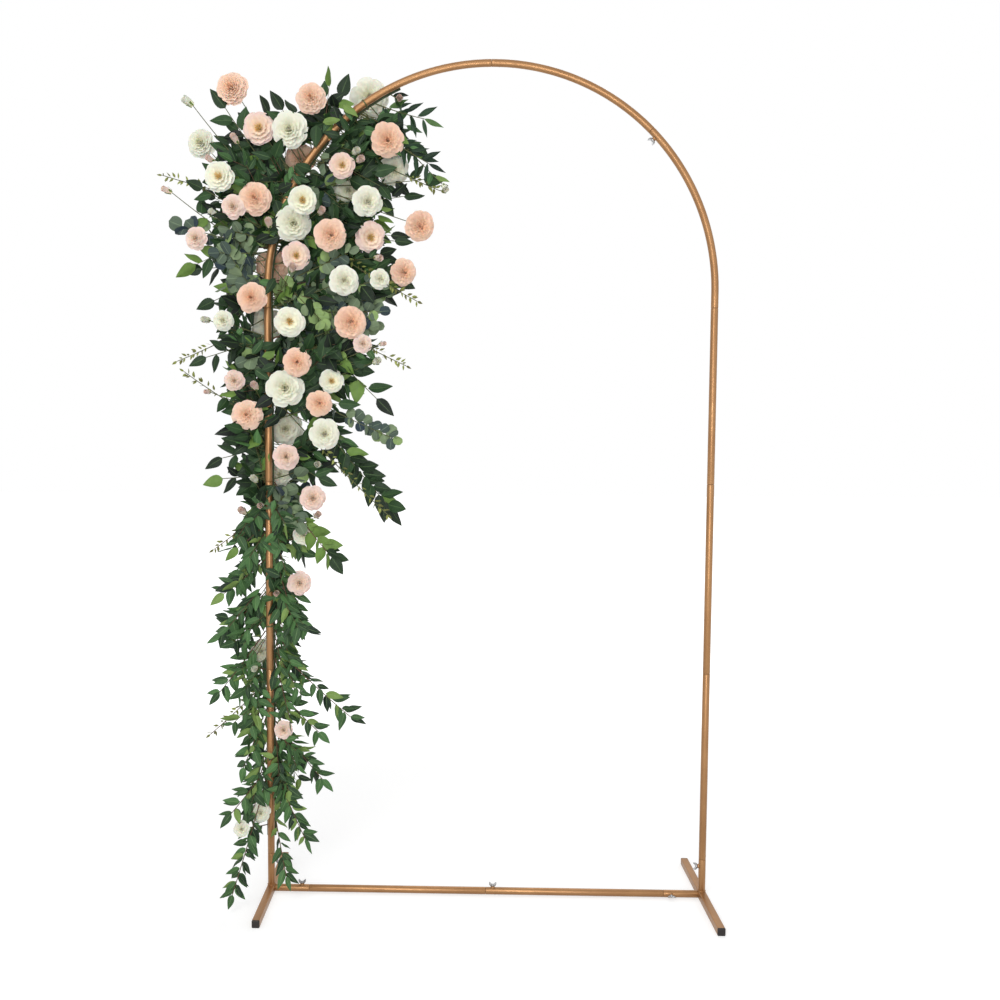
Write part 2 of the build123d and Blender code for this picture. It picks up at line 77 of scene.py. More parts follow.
class Mesh:
    """Collects grids and faces, each with UVs and two numbers per vertex, into one object."""

    def __init__(self):
        self.points, self.faces, self.uvs, self.tones, self.slots = [], [], [], [], []
        self.count = 0

    def add(self, points, faces, uvs=None, tone=NEUTRAL_TONE, slot=0):
        """Adds points and the faces over them; faces number the points from 0."""
        points = np.asarray(points, float).reshape(-1, 3)
        faces = np.asarray(faces, int)
        uvs = np.zeros((len(points), 2)) if uvs is None else np.asarray(uvs, float).reshape(-1, 2)
        self.points.append(points)
        self.faces += (faces + self.count).tolist()
        self.uvs.append(uvs)
        self.tones.append(np.broadcast_to(np.asarray(tone, float), (len(points), 2)))
        self.slots += [slot] * len(faces)
        self.count += len(points)

    def grid(self, surface, uvs=None, tone=NEUTRAL_TONE, slot=0, wrap=False):
        """Adds a sheet of points [rows, columns, 3]; wrap closes it across its columns."""
        rows, columns = surface.shape[:2]
        number = np.arange(rows * columns).reshape(rows, columns)
        if wrap:
            number = np.concatenate([number, number[:, :1]], axis=1)
        corners = [number[:-1, :-1], number[:-1, 1:], number[1:, 1:], number[1:, :-1]]
        faces = np.stack(corners, axis=-1)
        self.add(surface, faces.reshape(-1, 4), uvs, tone, slot)

    def build(self, name, materials):
        """Makes the object, smooth shaded, with its UV layers and materials."""
        mesh = bpy.data.meshes.new(name)
        points = np.concatenate(self.points)
        mesh.from_pydata(points.tolist(), [], self.faces)
        uvs, tones = np.concatenate(self.uvs), np.concatenate(self.tones)
        corner = np.empty(len(mesh.loops), int)
        mesh.loops.foreach_get("vertex_index", corner)
        mesh.uv_layers.new(name="shape").data.foreach_set("uv", uvs[corner].ravel())
        mesh.uv_layers.new(name="tone").data.foreach_set("uv", tones[corner].ravel())
        mesh.polygons.foreach_set("material_index", self.slots)
        mesh.polygons.foreach_set("use_smooth", [True] * len(self.faces))
        for material in materials:
            mesh.materials.append(material)
        mesh.update()
        obj = bpy.data.objects.new(name, mesh)
        bpy.context.scene.collection.objects.link(obj)
        return obj


def finish_piece(obj, nodes):
    """Puts an object on the body, in place of its CAD nodes."""
    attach(obj, "root")
    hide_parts(*nodes)


def sheet_shares(rows, columns):
    """Shares along a sheet (0 to 1) and across it (-1 to 1), and its UVs."""
    t = np.linspace(0, 1, rows)[:, None]
    v = np.linspace(-1, 1, columns)[None, :]
    return t, v, np.stack(np.broadcast_arrays(v * 0.5 + 0.5, t), axis=-1)


def frame_at(path, i):
    """Side and up directions across a path at its point i."""
    run = path[min(i + 1, len(path) - 1)] - path[max(i - 1, 0)]
    run /= norm(run)
    ahead = np.array([0.0, 1.0, 0.0]) if abs(run[1]) < 0.9 else np.array([1.0, 0.0, 0.0])
    side = np.cross(run, ahead)
    side /= norm(side)
    return side, np.cross(side, run)


def tube(mesh, path, radii, sides, slot=0, closed=True):
    """Round tube along path, with a radius for each of its points."""
    path = np.asarray(path, float)
    radii = np.broadcast_to(np.asarray(radii, float), (len(path),))
    rings, uvs, length = [], [], 0.0
    for i, here in enumerate(path):
        side, up = frame_at(path, i)
        turned = np.arange(sides) * 2 * pi / sides
        ring = np.outer(np.cos(turned), side) + np.outer(np.sin(turned), up)
        rings.append(here + radii[i] * ring)
        length += norm(here - path[i - 1]) if i else 0.0
        uvs.append(np.stack([turned / (2 * pi), np.full(sides, length)], axis=1))
    rings = np.array(rings)
    mesh.grid(rings, np.array(uvs), slot=slot, wrap=True)
    if closed:
        for ring, order in ((rings[0], -1), (rings[-1], 1)):
            mesh.add(ring, [list(range(sides))[::order]], slot=slot)


def beside(along, out, front):
    """Point given from the tube, as in the part's source, here in metres."""
    if along > 0:
        turned = along / HALF_SPAN
        reach = HALF_SPAN + out
        return np.array([-reach * cos(turned), -front, SPRING_HEIGHT + reach * sin(turned)])
    return np.array([-HALF_SPAN - out, -front, SPRING_HEIGHT + along])


def from_tube(point):
    """The reverse of beside: along, out and front of a point."""
    if point[2] > SPRING_HEIGHT:
        turned = np.arctan2(point[2] - SPRING_HEIGHT, -point[0])
        return turned * HALF_SPAN, np.hypot(point[0], point[2] - SPRING_HEIGHT) - HALF_SPAN, -point[1]
    return point[2] - SPRING_HEIGHT, -HALF_SPAN - point[0], -point[1]


def solids_of(node):
    """Corner points of each solid of a CAD node, in the order of the node."""
    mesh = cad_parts[node].data
    co = np.empty(len(mesh.vertices) * 3)
    mesh.vertices.foreach_get("co", co)
    co = co.reshape(-1, 3)
    keys, same = {}, []
    for place in np.round(co, 5):
        same.append(keys.setdefault(tuple(place), len(keys)))
    parent = list(range(len(keys)))

    def root(i):
        while parent[i] != i:
            parent[i] = parent[parent[i]]
            i = parent[i]
        return i

    for polygon in mesh.polygons:
        corners = [root(same[i]) for i in polygon.vertices]
        for i in corners[1:]:
            parent[root(i)] = root(corners[0])
    groups = {}
    for place, i in keys.items():
        groups.setdefault(root(i), []).append(place)
    return [np.array(group, float) for group in groups.values()]


def unit(v):
    """Vector v at a length of 1."""
    return v / max(norm(v), 1e-9)


def read_bloom(corners):
    """Middle, radius and axis of a bloom solid."""
    middle = corners.mean(0)
    axis = svd(corners - middle)[2][2]
    if axis[1] > 0:
        axis = -axis
    flat = (corners - middle) - np.outer((corners - middle) @ axis, axis)
    return middle, norm(flat, axis=1).max(), axis


# Materials


def srgb(*colour):
    """Linear colour of a colour that is written 0 to 255."""
    shares = [c / 255 for c in colour]
    return (*(c / 12.92 if c <= 0.04045 else ((c + 0.055) / 1.055) ** 2.4 for c in shares), 1.0)


class Nodes:
    """Node tree of a new material, or of the world, with short calls for its nodes."""

    def __init__(self, name, owner=None, shader="Principled BSDF"):
        self.material = owner or bpy.data.materials.new(name)
        self.material.use_nodes = True
        self.tree = self.material.node_tree
        self.shader = self.tree.nodes[shader]

    def new(self, kind, **values):
        node = self.tree.nodes.new("ShaderNode" + kind)
        for key, value in values.items():
            if hasattr(node, key):
                setattr(node, key, value)
            else:
                node.inputs[key.replace("_", " ")].default_value = value
        return node

    def link(self, start, end):
        self.tree.links.new(start, end)

    def feed(self, node, names, values):
        """Gives a node's inputs their values, each a number, a colour or another node's output."""
        for name, value in zip(names, values):
            if isinstance(value, bpy.types.NodeSocket):
                self.link(value, node.inputs[name])
            else:
                node.inputs[name].default_value = value

    def uv(self, layer):
        split = self.new("SeparateXYZ")
        self.link(self.new("UVMap", uv_map=layer).outputs["UV"], split.inputs[0])
        return split.outputs[0], split.outputs[1]

    def ramp(self, value, stops):
        node = self.new("ValToRGB")
        while len(node.color_ramp.elements) < len(stops):
            node.color_ramp.elements.new(0.5)
        for element, (place, colour) in zip(node.color_ramp.elements, stops):
            element.position, element.color = place, colour
        self.link(value, node.inputs[0])
        return node.outputs["Color"]

    def noise(self, scale, detail=3.0):
        node = self.new("TexNoise", Scale=scale, Detail=detail)
        self.link(self.new("TexCoord").outputs["Object"], node.inputs["Vector"])
        return node.outputs["Fac"]

    def math(self, operation, a, b=0.0, clamp=False):
        node = self.new("Math", operation=operation, use_clamp=clamp)
        self.feed(node, (0, 1), (a, b))
        return node.outputs[0]

    def mix(self, share, a, b):
        node = self.new("Mix", data_type="RGBA")
        self.feed(node, (0, 6, 7), (share, a, b))
        return node.outputs[2]

    def bump(self, height, strength, distance):
        node = self.new("Bump", Strength=strength, Distance=distance)
        self.link(height, node.inputs["Height"])
        self.link(node.outputs[0], self.shader.inputs["Normal"])

    def base(self, colour):
        self.link(colour, self.shader.inputs["Base Color"])

    def seen(self):
        """1 where the camera or a mirror image shows the surface, else 0."""
        path = self.new("LightPath")
        return self.math("ADD", path.outputs["Is Camera Ray"], path.outputs["Is Glossy Ray"], True)

    def map_range(self, value, ends, kind="LINEAR"):
        node = self.new("MapRange", interpolation_type=kind)
        self.feed(node, ("Value", "From Min", "From Max", "To Min", "To Max"), (value, *ends))
        return node.outputs["Result"]

    def roughness(self, scale, low, high, stop=0.8):
        """Roughness that wanders between low and high over the surface."""
        stops = [(place, (level, level, level, 1)) for place, level in ((0.3, low), (stop, high))]
        self.link(self.ramp(self.noise(scale), stops), self.shader.inputs["Roughness"])

    def set(self, **values):
        for key, value in values.items():
            self.shader.inputs[key.replace("_", " ")].default_value = value
        return self


def paint_material():
    """Bronze-gold metallic paint with a fine orange peel and thin scuffs."""
    m = Nodes("arch_paint").set(Metallic=0.55, Specular_IOR_Level=0.5)
    tone = m.noise(14.0)
    flakes = m.noise(1400.0, 1.0)
    colour = m.ramp(tone, [(0.3, srgb(134, 93, 55)), (0.7, srgb(150, 109, 69))])
    colour = m.mix(m.math("MULTIPLY", flakes, 0.30), colour, srgb(210, 164, 114))
    m.base(colour)
    m.roughness(60.0, 0.30, 0.44, 0.75)
    m.bump(m.noise(420.0, 2.0), 0.12, 0.0004)
    return m.material


def plastic_material(name, colour, rough):
    """Matt plastic whose colour wanders to a darker one."""
    m = Nodes(name).set(Specular_IOR_Level=0.4)
    darker = tuple(0.6 * c for c in colour[:3]) + (1.0,)
    m.base(m.mix(m.noise(60.0), colour, darker))
    m.roughness(160.0, rough, rough + 0.15)
    m.bump(m.noise(900.0, 2.0), 0.2, 0.0003)
    return m.material


def zinc_material():
    """Dull zinc plating."""
    m = Nodes("screw_steel").set(Metallic=0.9)
    m.base(m.ramp(m.noise(90.0), [(0.3, srgb(120, 120, 122)), (0.7, srgb(172, 172, 172))]))
    m.roughness(260.0, 0.3, 0.5, 0.7)
    m.bump(m.noise(700.0), 0.15, 0.0003)
    return m.material


def petal_material(name, heart, body, rim):
    """Silk petal: coloured from its base to its rim, with a fine grain and pressed veins."""
    m = Nodes(name).set(Roughness=0.75, Sheen_Weight=0.25, Sheen_Roughness=0.5, Specular_IOR_Level=0.2,
                        Subsurface_Weight=0.12, Subsurface_Scale=0.004)
    _, along = m.uv("shape")
    shade, depth = m.uv("tone")
    colour = m.ramp(along, [(0.0, heart), (0.45, body), (1.0, rim)])
    colour = m.mix(depth, colour, m.mix(0.35, heart, body))
    veins = m.new("TexWave", Scale=9.0, Distortion=2.5, Detail=2.0)
    m.link(m.new("UVMap", uv_map="shape").outputs["UV"], veins.inputs["Vector"])
    colour = m.mix(m.math("MULTIPLY", veins.outputs["Fac"], 0.10), colour, heart)
    paler = m.math("MULTIPLY", m.math("SUBTRACT", shade, 0.5), 0.5, True)
    colour = m.mix(paler, colour, srgb(255, 252, 246))
    m.base(colour)
    height = m.math("ADD", m.math("MULTIPLY", veins.outputs["Fac"], 0.6), m.noise(500.0))
    m.bump(height, 0.25, 0.0006)
    return m.material


def leaf_material(name, dark, light, rib, young_tone, sheen=0.0, rough=0.5):
    """Printed leaf: a paler midrib, side veins, and darker and lighter leaves by their tone."""
    m = Nodes(name).set(Sheen_Weight=sheen, Specular_IOR_Level=0.25)
    across, along = m.uv("shape")
    shade, young = m.uv("tone")
    middle = m.math("ABSOLUTE", m.math("SUBTRACT", across, 0.5))
    slant = m.math("ADD", m.math("MULTIPLY", along, 9.0), m.math("MULTIPLY", middle, -9.0))
    side_veins = m.math("ABSOLUTE", m.math("SUBTRACT", m.math("FRACT", slant), 0.5))
    vein = m.math("SUBTRACT", 1.0, m.math("MULTIPLY", side_veins, 9.0), True)
    midrib = m.math("SUBTRACT", 1.0, m.math("MULTIPLY", middle, 22.0), True)
    lines = m.math("MAXIMUM", m.math("MULTIPLY", vein, 0.35), midrib)
    colour = m.mix(shade, dark, light)
    colour = m.mix(young, colour, young_tone)
    colour = m.mix(m.math("MULTIPLY", m.noise(55.0), 0.5), colour, dark)
    colour = m.mix(m.math("MULTIPLY", lines, 0.5), colour, rib)
    m.base(colour)
    m.roughness(120.0, rough, rough + 0.2)
    m.bump(m.math("ADD", lines, m.math("MULTIPLY", m.noise(700.0), 0.4)), 0.35, 0.0006)
    return m.material


PAINT = paint_material()
CAP = plastic_material("cap_plastic", srgb(38, 32, 30), 0.5)
STEM = plastic_material("stem_plastic", srgb(88, 92, 52), 0.55)
BROWN_STEM = plastic_material("brown_stem", srgb(92, 66, 44), 0.6)
STRAND = plastic_material("strand_tape", srgb(52, 66, 36), 0.6)
ZINC = zinc_material()
PEACH = petal_material("peach_silk", srgb(255, 204, 154), srgb(246, 202, 170), srgb(236, 206, 188))
BLUSH = petal_material("blush_silk", srgb(250, 224, 182), srgb(236, 208, 192), srgb(230, 206, 200))
WHITE = petal_material("white_silk", srgb(252, 248, 208), srgb(228, 228, 206), srgb(226, 227, 216))
STAMEN = plastic_material("stamen", srgb(250, 214, 140), 0.7)
SEPAL = leaf_material("sepal", srgb(70, 92, 40), srgb(120, 144, 74), srgb(140, 160, 92),
                      srgb(150, 170, 96))


# Frame

ARC_STEP = 0.75          # degrees of the hoop between two rings of its tube
RIM_LENGTH = 0.0012      # of the rolled rim at the end of a tube
RIM_DROP, SHOULDER_DROP = 0.0009, 0.0003      # how far the rim lies below the tube's surface
NUT_FOOT = TUBE_RADIUS - 0.0008
# Welded nut and its bead: radius, height above the tube's centre line, sides
NUT_RINGS = ((0.0055, TUBE_RADIUS + 0.0035, 6), (0.0068, TUBE_RADIUS + 0.0006, 18))
COLLAR_FOOT = TUBE_RADIUS + 0.0038
THREAD_RINGS = 22
SHANK_RADIUS, THREAD_DEPTH = 0.0024, 0.0003
# Height and radius of the rings of a wing screw's collar
COLLAR_RINGS = ((0, 0.0036), (0.0006, 0.0040), (0.0036, 0.0038), (0.0052, 0.0030),
                (0.006, 0.0016), (0.0061, 0.0004))
# Way out, height and half width of the rings of one wing
WING_RINGS = ((0.0, 0.0008, 0.0035), (0.003, 0.0022, 0.0042), (0.0055, 0.0040, 0.0052),
              (0.0078, 0.0062, 0.005), (0.0092, 0.0088, 0.0036), (0.0094, 0.0108, 0.0018))
WING_SIDES = 14
FOOT_CORNER, CAP_CORNER = 0.0022, 0.0025      # corner radius of foot bar and plug
CORNER_STEPS = 5
# Way out and size of the rings of a foot plug, its size as a share of the foot bar's
CAP_RINGS = ((-0.012, 0.80), (0.0, 0.80), (0.0, 0.99), (0.0022, 1.0), (0.0029, 0.95),
             (0.003, 0.6), (0.003, 0.02))
BEAD_STEPS = 48


def arc_point(angle, offset=0.0):
    """Point of the hoop's centre line, angle degrees round from the left end."""
    reach, turned = HALF_SPAN + offset, radians(angle)
    return HOOP_CENTRE + Vector((-reach * cos(turned), 0, reach * sin(turned)))


def arc_run(angle):
    """Direction along the hoop at an angle."""
    return arc_point(angle + 1) - arc_point(angle - 1)


def hoop_angle(length):
    """Degrees that a length of the hoop's centre line covers."""
    return length / HALF_SPAN * 180 / pi


def arc(angle_from, angle_to):
    """Points of the hoop's centre line between two angles."""
    steps = max(2, round(abs(angle_to - angle_from) / ARC_STEP))
    return [arc_point(angle_from + (angle_to - angle_from) * k / steps) for k in range(steps + 1)]


def section(mesh, path):
    """A length of painted tube with small rolled rims at its two ends."""
    path = [np.array(p) for p in path]
    first = path[0] + unit(path[1] - path[0]) * RIM_LENGTH
    last = path[-1] + unit(path[-2] - path[-1]) * RIM_LENGTH
    points = [path[0], path[0] + (first - path[0]) * 0.35, first, *path[1:-1], last,
              path[-1] + (last - path[-1]) * 0.35, path[-1]]
    radii = np.full(len(points), TUBE_RADIUS)
    radii[[0, -1]] = TUBE_RADIUS - RIM_DROP
    radii[[1, -2]] = TUBE_RADIUS - SHOULDER_DROP
    tube(mesh, points, radii, sides=40)


def seat_axes(seat, outward, along):
    """Seat of a screw with its unit directions outward, along the tube and across it."""
    seat, outward, along = (np.array(v, float) for v in (seat, outward, along))
    outward, along = unit(outward), unit(along)
    return seat, outward, along, np.cross(outward, along)


def nut(mesh, seat, outward, along):
    """Welded six-sided nut with its bead, standing on the tube at seat."""
    seat, outward, along, across = seat_axes(seat, outward, along)
    for radius, high, sides in NUT_RINGS:
        turned = np.arange(sides) * 2 * pi / sides
        ring = np.outer(np.cos(turned), along) + np.outer(np.sin(turned), across)
        rows = [seat + outward * NUT_FOOT + ring * radius,
                seat + outward * (high - 0.0005) + ring * radius,
                seat + outward * high + ring * radius * 0.88,
                seat + outward * high + ring * radius * 0.3]
        mesh.grid(np.array(rows), wrap=True)


def wing_screw(name, node, seat, outward, along):
    """Zinc wing screw: threaded shank, domed collar and two scooped wings."""
    mesh = Mesh()
    seat, outward, along, across = seat_axes(seat, outward, along)
    heights = np.linspace(TUBE_RADIUS - 0.001, COLLAR_FOOT, THREAD_RINGS)
    radii = [SHANK_RADIUS - THREAD_DEPTH * (k % 2) for k in range(THREAD_RINGS)]
    tube(mesh, [seat + outward * h for h in heights], radii, 16)
    collar = [seat + outward * (COLLAR_FOOT + h) for h, _ in COLLAR_RINGS]
    tube(mesh, collar, [radius for _, radius in COLLAR_RINGS], 24)
    turned = np.arange(WING_SIDES) * 2 * pi / WING_SIDES
    for way in (-1, 1):
        rows = []
        for out, up, half in WING_RINGS:
            centre = seat + outward * (COLLAR_FOOT + up) + along * (way * out)
            thick = 0.0012 + 0.0003 * half / 0.005
            rows.append(centre + np.outer(np.cos(turned) * half * 0.75, outward - along * way * 0.35)
                        + np.outer(np.sin(turned) * thick, across))
        rows = np.array(rows)
        mesh.grid(rows, wrap=True)
        for ring in (rows[0], rows[-1]):
            mesh.add(ring, [list(range(WING_SIDES))])
    finish_piece(mesh.build(name, [ZINC]), [node])


# Seat, outward direction and direction along the tube of each wing screw
SCREWS = {
    "left_post_screw": ((-HALF_SPAN, 0, STUB_TOP - SCREW_INSET), (1, 0, 0), (0, 0, 1)),
    "right_post_screw": ((HALF_SPAN, 0, STUB_TOP - SCREW_INSET), (-1, 0, 0), (0, 0, 1)),
    "left_cross_screw": ((-CROSS_STUB_END - SCREW_INSET, 0, CROSS_HEIGHT), (0, 0, 1), (1, 0, 0)),
    "middle_cross_screw": ((SCREW_INSET, 0, CROSS_HEIGHT), (0, 0, 1), (1, 0, 0)),
    "right_cross_screw": ((CROSS_STUB_END + SCREW_INSET, 0, CROSS_HEIGHT), (0, -1, 0), (1, 0, 0)),
}
INSET_ANGLE = hoop_angle(SCREW_INSET)
for screw, angle in (("left_hoop_screw", 45 - INSET_ANGLE), ("right_hoop_screw", 135 + INSET_ANGLE)):
    SCREWS[screw] = (arc_point(angle), arc_point(angle) - arc_point(angle, 1), arc_run(angle))
TOP_ANGLE = 90 + INSET_ANGLE
SCREWS["top_hoop_screw"] = (arc_point(TOP_ANGLE), (0, 1, 0), arc_run(TOP_ANGLE))

# Tubes that carry the nut of a screw
CARRIED = {
    "hoop_left_lower": "left_hoop_screw", "hoop_right_lower": "right_hoop_screw",
    "hoop_right_upper": "top_hoop_screw", "crossbar_right": "middle_cross_screw",
}


def tube_piece(node, path):
    """One painted tube of the frame, with its nut if it carries one."""
    mesh = Mesh()
    section(mesh, path)
    if node in CARRIED:
        nut(mesh, *SCREWS[CARRIED[node]])
    finish_piece(mesh.build(node + "_tube", [PAINT]), [node])


for side, name in ((-1, "left"), (1, "right")):
    x = side * HALF_SPAN
    for number, piece in enumerate(("lower", "middle", "upper")):
        low, high = SEAMS[number:number + 2]
        tube_piece(f"{name}_{piece}_post", [(x, 0, low + JOINT_GAP), (x, 0, high)])

HOOP_GAP = hoop_angle(JOINT_GAP)
tube_piece("hoop_left_lower", [(-HALF_SPAN, 0, SEAMS[3] + JOINT_GAP), *arc(0, 45)])
tube_piece("hoop_left_upper", arc(45 + HOOP_GAP, 90 - HOOP_GAP))
tube_piece("hoop_right_upper", arc(90, 135 - HOOP_GAP))
tube_piece("hoop_right_lower", [*arc(135, 180), (HALF_SPAN, 0, SEAMS[3] + JOINT_GAP)])
for node, start, end in (("crossbar_left", -CROSS_STUB_END + JOINT_GAP, -JOINT_GAP),
                         ("crossbar_right", 0, CROSS_STUB_END - JOINT_GAP)):
    tube_piece(node, [(start, 0, CROSS_HEIGHT), (end, 0, CROSS_HEIGHT)])
for screw, place in SCREWS.items():
    wing_screw(screw + "_zinc", screw, *place)


def square_ring(half, corner):
    """Outline of a square tube with rounded corners, as x and z."""
    centre, points = half - corner, []
    for k in range(4):
        for step in range(CORNER_STEPS):
            turned = pi / 2 * (k + step / (CORNER_STEPS - 1))
            points.append((centre * (1 if k in (0, 3) else -1) + corner * cos(turned),
                           centre * (1 if k in (0, 1) else -1) + corner * sin(turned)))
    return np.array(points)


def bead(mesh, centre, radius, axis):
    """Uneven weld bead round a stub."""
    centre, axis = np.array(centre, float), unit(np.array(axis, float))
    side = unit(np.cross(axis, (0.3, 1, 0.2)))
    other = np.cross(axis, side)
    turned = np.arange(BEAD_STEPS) * 2 * pi / BEAD_STEPS
    path = centre + radius * (np.outer(np.cos(turned), side) + np.outer(np.sin(turned), other))
    ring = np.concatenate([path, path[:2]])
    tube(mesh, ring, 0.0014 + 0.0004 * np.sin(np.arange(len(ring)) * 1.9), 8, closed=False)


def foot_piece(name, side):
    """Square foot bar with the welded stubs of its post and of the crossbar."""
    mesh = Mesh()
    x = side * HALF_SPAN
    ring = square_ring(FOOT_SIZE / 2, FOOT_CORNER)
    rows = [np.stack([x + ring[:, 0], np.full(len(ring), y), FOOT_SIZE / 2 + ring[:, 1]], axis=1)
            for y in np.linspace(-FOOT_LENGTH / 2, FOOT_LENGTH / 2, 9)]
    mesh.grid(np.array(rows), wrap=True)
    section(mesh, [(x, 0, FOOT_SIZE - 0.001), (x, 0, STUB_TOP)])
    face = side * (HALF_SPAN - FOOT_SIZE / 2 + 0.001)
    section(mesh, [(face, 0, CROSS_HEIGHT), (side * CROSS_STUB_END, 0, CROSS_HEIGHT)])
    bead(mesh, (x, 0, FOOT_SIZE + 0.0003), TUBE_RADIUS + 0.0002, (0, 0, 1))
    nut(mesh, *SCREWS[f"{name}_post_screw"])
    nut(mesh, *SCREWS[f"{name}_cross_screw"])
    finish_piece(mesh.build(f"{name}_foot", [PAINT]), [f"{name}_foot_bar"])


def cap_piece(name, side, end):
    """Push-in plug at one end of a foot bar."""
    mesh = Mesh()
    x = side * HALF_SPAN
    ring = square_ring(FOOT_SIZE / 2, CAP_CORNER)
    face = end * FOOT_LENGTH / 2
    rows = [np.stack([x + ring[:, 0] * grow, np.full(len(ring), face + end * out),
                      FOOT_SIZE / 2 + ring[:, 1] * grow], axis=1) for out, grow in CAP_RINGS]
    mesh.grid(np.array(rows), wrap=True)
    finish_piece(mesh.build(name + "_plug", [CAP]), [name])


for side, name in ((-1, "left"), (1, "right")):
    foot_piece(name, side)
    cap_piece(f"{name}_front_foot_cap", side, -1)
    cap_piece(f"{name}_rear_foot_cap", side, 1)


# Leaves

LEAF_CURL, LEAF_FOLD, LEAF_WAVE = 0.15, 0.22, 0.02      # shares of a leaf's length
LARGE_LEAF = 0.025       # above this length a leaf gets the finer grid
VIEWER = np.array([0.0, -1.0, 0.0])


def leaf_sheet(base, heading, facing, length, width, outline):
    """Points and UVs of a leaf that starts at base; outline is round, narrow or pointed."""
    t, v, uvs = sheet_shares(*((9, 7) if length > LARGE_LEAF else (5, 5)))
    if outline == "round":
        half = np.sqrt(np.clip(1 - (2 * t - 1) ** 2, 0, 1)) ** 0.9
    elif outline == "narrow":
        half = np.sin(pi * t ** 0.8) ** 1.1
    else:
        half = np.sin(pi * t ** 0.72) ** 0.85 * (1 - 0.15 * t)
    half = 0.5 * width * np.maximum(half, 0.03)
    phase = rng.uniform(0, 2 * pi)
    bend = LEAF_CURL * rng.uniform(0.3, 1.6)
    x = t + 0 * v
    y = half * v
    z = -bend * t ** 2 - LEAF_FOLD * np.abs(v) * half + LEAF_WAVE * np.sin(9 * t + phase) * v ** 2
    facing = unit(facing - heading * np.dot(facing, heading))
    side = np.cross(facing, heading)
    sheet = base + length * (x[..., None] * heading + y[..., None] * side + z[..., None] * facing)
    return sheet, uvs


# Outline, width as a share of the length, usual length, slot and what leaf_material takes
LEAF_KINDS = {
    "rose_leaves": ("pointed", 0.56, 0.050, "rose_leaf_fabric", (
        srgb(2, 10, 8), srgb(46, 78, 40), srgb(92, 120, 70), srgb(120, 154, 72))),
    "vine_leaves": ("pointed", 0.46, 0.044, "vine_fabric", (
        srgb(6, 28, 18), srgb(84, 126, 72), srgb(136, 166, 110), srgb(134, 162, 84))),
    "eucalyptus_leaves": ("round", 0.92, 0.032, "eucalyptus_fabric", (
        srgb(28, 44, 58), srgb(140, 160, 116), srgb(140, 160, 128), srgb(150, 178, 104), 0.1, 0.65)),
    "willow_leaves": ("narrow", 0.26, 0.055, "willow_fabric", (
        srgb(8, 28, 20), srgb(36, 66, 40), srgb(70, 94, 60), srgb(90, 124, 66))),
    "twig_leaves": ("narrow", 0.42, 0.015, "twig_fabric", (
        srgb(84, 84, 42), srgb(140, 150, 76), srgb(150, 148, 90), srgb(160, 170, 92))),
}
leaf_meshes = {node: Mesh() for node in LEAF_KINDS}


def add_leaf(node, base, heading, facing, length, young):
    """Adds a leaf to the mesh of its kind, its directions scattered a little."""
    outline, width = LEAF_KINDS[node][:2]
    heading = unit(heading + 0.12 * rng.normal(size=3))
    facing = unit(facing + 0.25 * rng.normal(size=3))
    sheet, uvs = leaf_sheet(base, heading, facing, length, width * rng.uniform(0.85, 1.15), outline)
    leaf_meshes[node].grid(sheet, uvs, (rng.uniform(0, 1), young))


def read_leaf(corners):
    """Base and tip of a leaf solid; the tip is the end further from its middle."""
    spread = norm(corners[:, None] - corners[None], axis=2)
    a, b = np.unravel_index(spread.argmax(), spread.shape)
    middle = corners.mean(0)
    if norm(corners[a] - middle) > norm(corners[b] - middle):
        a, b = b, a
    return corners[a], corners[b]


# Light young leaves, as x and z on the plane of the arch
YOUNG_LEAVES = np.array([
    (-0.58, 2.175), (-0.462, 2.23), (-0.355, 2.125), (-0.225, 1.935), (-0.28, 1.8),
    (-0.81, 1.915), (-0.765, 1.735), (-0.335, 1.375), (-0.45, 0.985), (-0.545, 1.64),
    (-0.44, 1.56), (-0.7, 1.43),
])
YOUNG_REACH, YOUNG_SHARE = 0.030, 0.85


def is_young(point, chance):
    """Whether a leaf at point is a light young one: near a marked place, or by chance."""
    far = np.hypot(YOUNG_LEAVES[:, 0] - point[0], YOUNG_LEAVES[:, 1] - point[2]).min()
    return YOUNG_SHARE if far < YOUNG_REACH or rng.random() < chance else 0.0


leaf_bases, base_kinds = [], []
for node in LEAF_KINDS:
    for corners in solids_of(node):
        base, tip = read_leaf(corners)
        leaf_bases.append(base)
        base_kinds.append(node)
        run = tip - base
        facing = VIEWER + 0.3 * rng.normal(size=3)
        young = is_young((base + tip) / 2, 0.10)
        add_leaf(node, base, unit(run), unit(facing), norm(run), young)


# Wires, with the small leaves that grow along them


def wire_ends(corners):
    """Points of a wire solid's centre line, from the tube outward."""
    middle = corners.mean(0)
    axis = unit(svd(corners - middle)[2][0])
    along = (corners - middle) @ axis
    order = np.argsort(along)
    low, high = corners[order[:3]].mean(0), corners[order[-3:]].mean(0)
    ends = [low, high] if abs(from_tube(low)[1]) < abs(from_tube(high)[1]) else [high, low]
    if len(corners) > 6:
        ends.insert(1, corners[order[3:-3]].mean(0))
    return np.array(ends)


def wire_kind(end):
    """Kind of the leaf that grows nearest to a wire's end."""
    return base_kinds[int(norm(np.array(leaf_bases) - end, axis=1).argmin())]


# Clusters of eucalyptus: x, z and reach
EUCALYPTUS_CLUSTERS = np.array([
    (-0.51, 1.1, 0.07), (-0.56, 1.43, 0.06), (-0.66, 1.71, 0.09), (-0.36, 1.6, 0.09),
    (-0.49, 1.93, 0.06), (-0.34, 1.28, 0.06),
])
EUCALYPTUS_SHARE = 0.8      # of the leaves inside a cluster
VINES_BELOW = 1.05          # height


